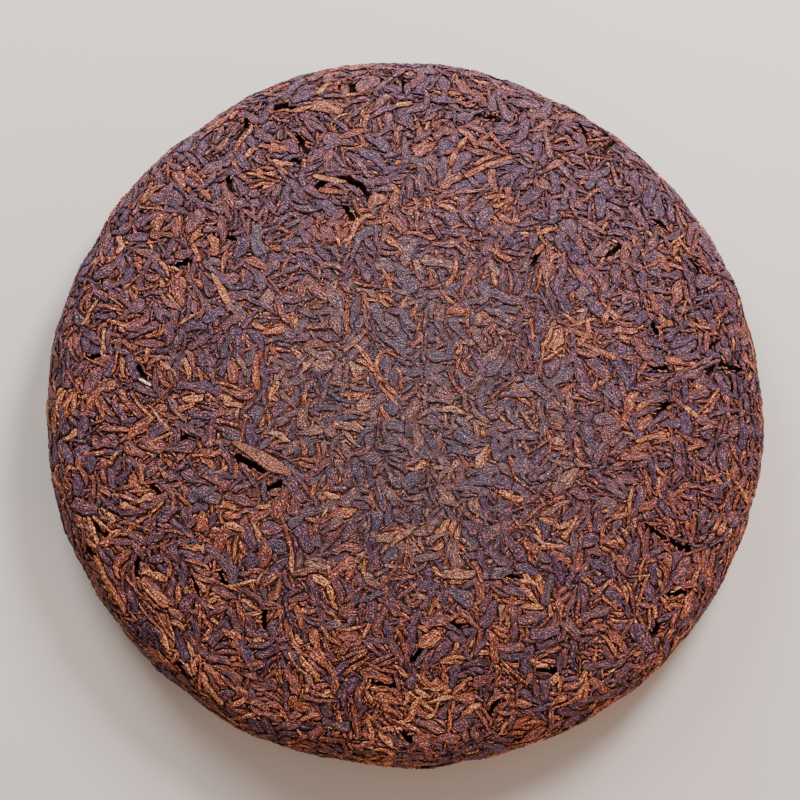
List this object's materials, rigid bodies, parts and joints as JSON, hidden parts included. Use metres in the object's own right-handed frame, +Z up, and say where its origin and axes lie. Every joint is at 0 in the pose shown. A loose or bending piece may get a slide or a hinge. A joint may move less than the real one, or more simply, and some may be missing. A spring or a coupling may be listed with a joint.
{
  "type": "pu erh tea cake",
  "caption": "Round pressed cake of dark fermented tea: a low domed face of matted leaf strips, a rounded rim, and a flat underside with a hollow in its middle.",
  "frame": {"origin": "middle of the plane that the cake rests on, under the middle of its outline", "axes": "+Z up through the domed face, along the cake's axis; +X and +Y lie in the resting plane"},
  "size_m": [0.2016, 0.1994, 0.0257],
  "materials": {
    "pressed_leaf": "matte"
  },
  "bodies": {
    "root": {"tea_cake": "pressed_leaf"}
  },
  "joints": []
}
